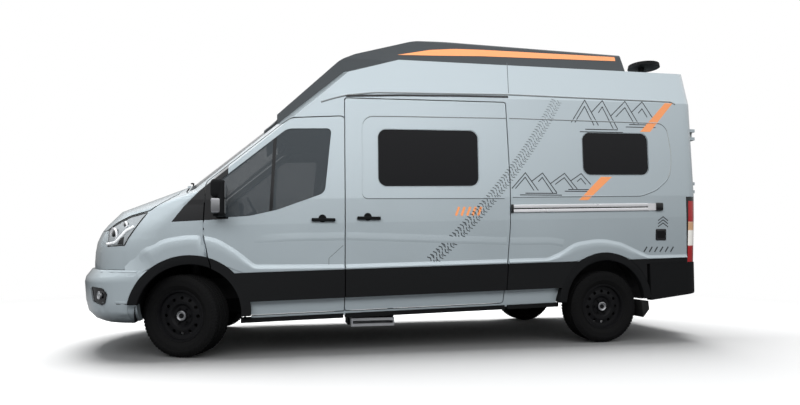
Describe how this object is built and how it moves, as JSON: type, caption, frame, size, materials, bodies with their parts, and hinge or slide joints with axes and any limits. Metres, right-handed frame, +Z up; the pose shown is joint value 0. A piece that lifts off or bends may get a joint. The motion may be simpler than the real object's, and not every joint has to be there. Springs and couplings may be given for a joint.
{
  "type": "camper van",
  "caption": "High-roof camper van with steered front wheels, hinged cab and rear doors, side sliding door, opening bonnet, roof fairing and pull-out entry step.",
  "frame": {"origin": "on the ground under the middle of the overall length and width", "axes": "+X from the nose to the tail, +Y to the van's right, +Z up"},
  "size_m": [5.9708, 2.48, 2.9404],
  "materials": {
    "body_paint": "satin",
    "bumper_paint": "satin",
    "black_trim": "matte",
    "dark_cap": "satin",
    "tinted_glass": "polished",
    "screen_glass": "polished",
    "lamp_glass": "polished",
    "red_lens": "gloss",
    "bright_rail": "brushed",
    "step_metal": "brushed",
    "under_steel": "matte",
    "cast_iron": "rough",
    "wheel_steel": "satin",
    "tyre": "matte",
    "cab_plastic": "matte",
    "seat_fabric": "woven",
    "camper_wood": "oiled",
    "tank_plastic": "matte"
  },
  "bodies": {
    "van_body": {"antenna": "dark_cap", "arch_trims": "black_trim", "body_side_left": "body_paint", "body_side_right": "body_paint", "chassis_frame": "under_steel", "camper_furniture": "camper_wood", "dashboard": "cab_plastic", "engine_block": "cast_iron", "floor_pan": "under_steel", "front_bumper": "bumper_paint", "front_seats": "seat_fabric", "front_subframe": "under_steel", "front_wings": "body_paint", "fuel_tank": "tank_plastic", "grille": "black_trim", "headlamps": "lamp_glass", "high_roof": "body_paint", "rear_axle": "under_steel", "rear_bumper": "black_trim", "roof_cap": "dark_cap", "roof_hatch": "tinted_glass", "side_windows": "tinted_glass", "slide_rail": "bright_rail", "sliding_door": "body_paint", "tail_lamps": "red_lens", "windscreen": "screen_glass"},
    "front_door_left": {"front_door_left": "body_paint", "door_glass_left": "tinted_glass", "mirror_left": "black_trim"},
    "front_door_right": {"front_door_right": "body_paint", "door_glass_right": "tinted_glass", "mirror_right": "black_trim"},
    "bonnet": {"bonnet": "body_paint"},
    "rear_door_left": {"rear_door_left": "body_paint", "rear_glass_left": "tinted_glass"},
    "rear_door_right": {"rear_door_right": "body_paint", "rear_glass_right": "tinted_glass"},
    "knuckle_left": {"knuckle_left": "cast_iron"},
    "knuckle_right": {"knuckle_right": "cast_iron"},
    "wheel_front_left": {"rim_front_left": "wheel_steel", "tyre_front_left": "tyre"},
    "wheel_front_right": {"rim_front_right": "wheel_steel", "tyre_front_right": "tyre"},
    "wheel_rear_left": {"rim_rear_left": "wheel_steel", "tyre_rear_left": "tyre"},
    "wheel_rear_right": {"rim_rear_right": "wheel_steel", "tyre_rear_right": "tyre"},
    "entry_step": {"entry_step": "step_metal"}
  },
  "joints": [
    {"name": "front_door_left_hinge", "type": "hinge", "parent": "van_body", "child": "front_door_left", "pos_m": [-1.863, -1.029, 1.054], "axis": [0, 0, -1], "range_deg": [0, 65]},
    {"name": "front_door_right_hinge", "type": "hinge", "parent": "van_body", "child": "front_door_right", "pos_m": [-1.863, 1.029, 1.054], "axis": [0, 0, 1], "range_deg": [0, 65]},
    {"name": "bonnet_hinge", "type": "hinge", "parent": "van_body", "child": "bonnet", "pos_m": [-2.086, 0, 1.484], "axis": [0, 1, 0], "range_deg": [0, 50]},
    {"name": "rear_door_left_hinge", "type": "hinge", "parent": "van_body", "child": "rear_door_left", "pos_m": [2.8095, -0.868, 1.77], "axis": [0, 0, -1], "range_deg": [0, 180]},
    {"name": "rear_door_right_hinge", "type": "hinge", "parent": "van_body", "child": "rear_door_right", "pos_m": [2.8095, 0.868, 1.77], "axis": [0, 0, 1], "range_deg": [0, 180]},
    {"name": "steer_left", "type": "hinge", "parent": "van_body", "child": "knuckle_left", "pos_m": [-1.9785, -0.768, 0.34], "axis": [0, 0, -1], "range_deg": [-57, 9]},
    {"name": "steer_right", "type": "hinge", "parent": "van_body", "child": "knuckle_right", "pos_m": [-1.9785, 0.768, 0.34], "axis": [0, 0, -1], "range_deg": [-57, 9]},
    {"name": "front_left_spin", "type": "hinge", "parent": "knuckle_left", "child": "wheel_front_left", "pos_m": [-2.01917, -0.85935, 0.34], "axis": [0.4067, 0.9135, 0], "continuous": true},
    {"name": "front_right_spin", "type": "hinge", "parent": "knuckle_right", "child": "wheel_front_right", "pos_m": [-1.93783, 0.85935, 0.34], "axis": [0.4067, 0.9135, 0], "continuous": true},
    {"name": "rear_left_spin", "type": "hinge", "parent": "van_body", "child": "wheel_rear_left", "pos_m": [1.7715, -0.872, 0.34], "axis": [0, 1, 0], "continuous": true},
    {"name": "rear_right_spin", "type": "hinge", "parent": "van_body", "child": "wheel_rear_right", "pos_m": [1.7715, 0.872, 0.34], "axis": [0, 1, 0], "continuous": true},
    {"name": "entry_step_slide", "type": "slide", "parent": "van_body", "child": "entry_step", "axis": [0, -1, 0], "range_m": [0, 0.22]}
  ],
  "couplings": [
    {"joint": "steer_right", "follows": "steer_left", "ratio": 1}
  ]
}
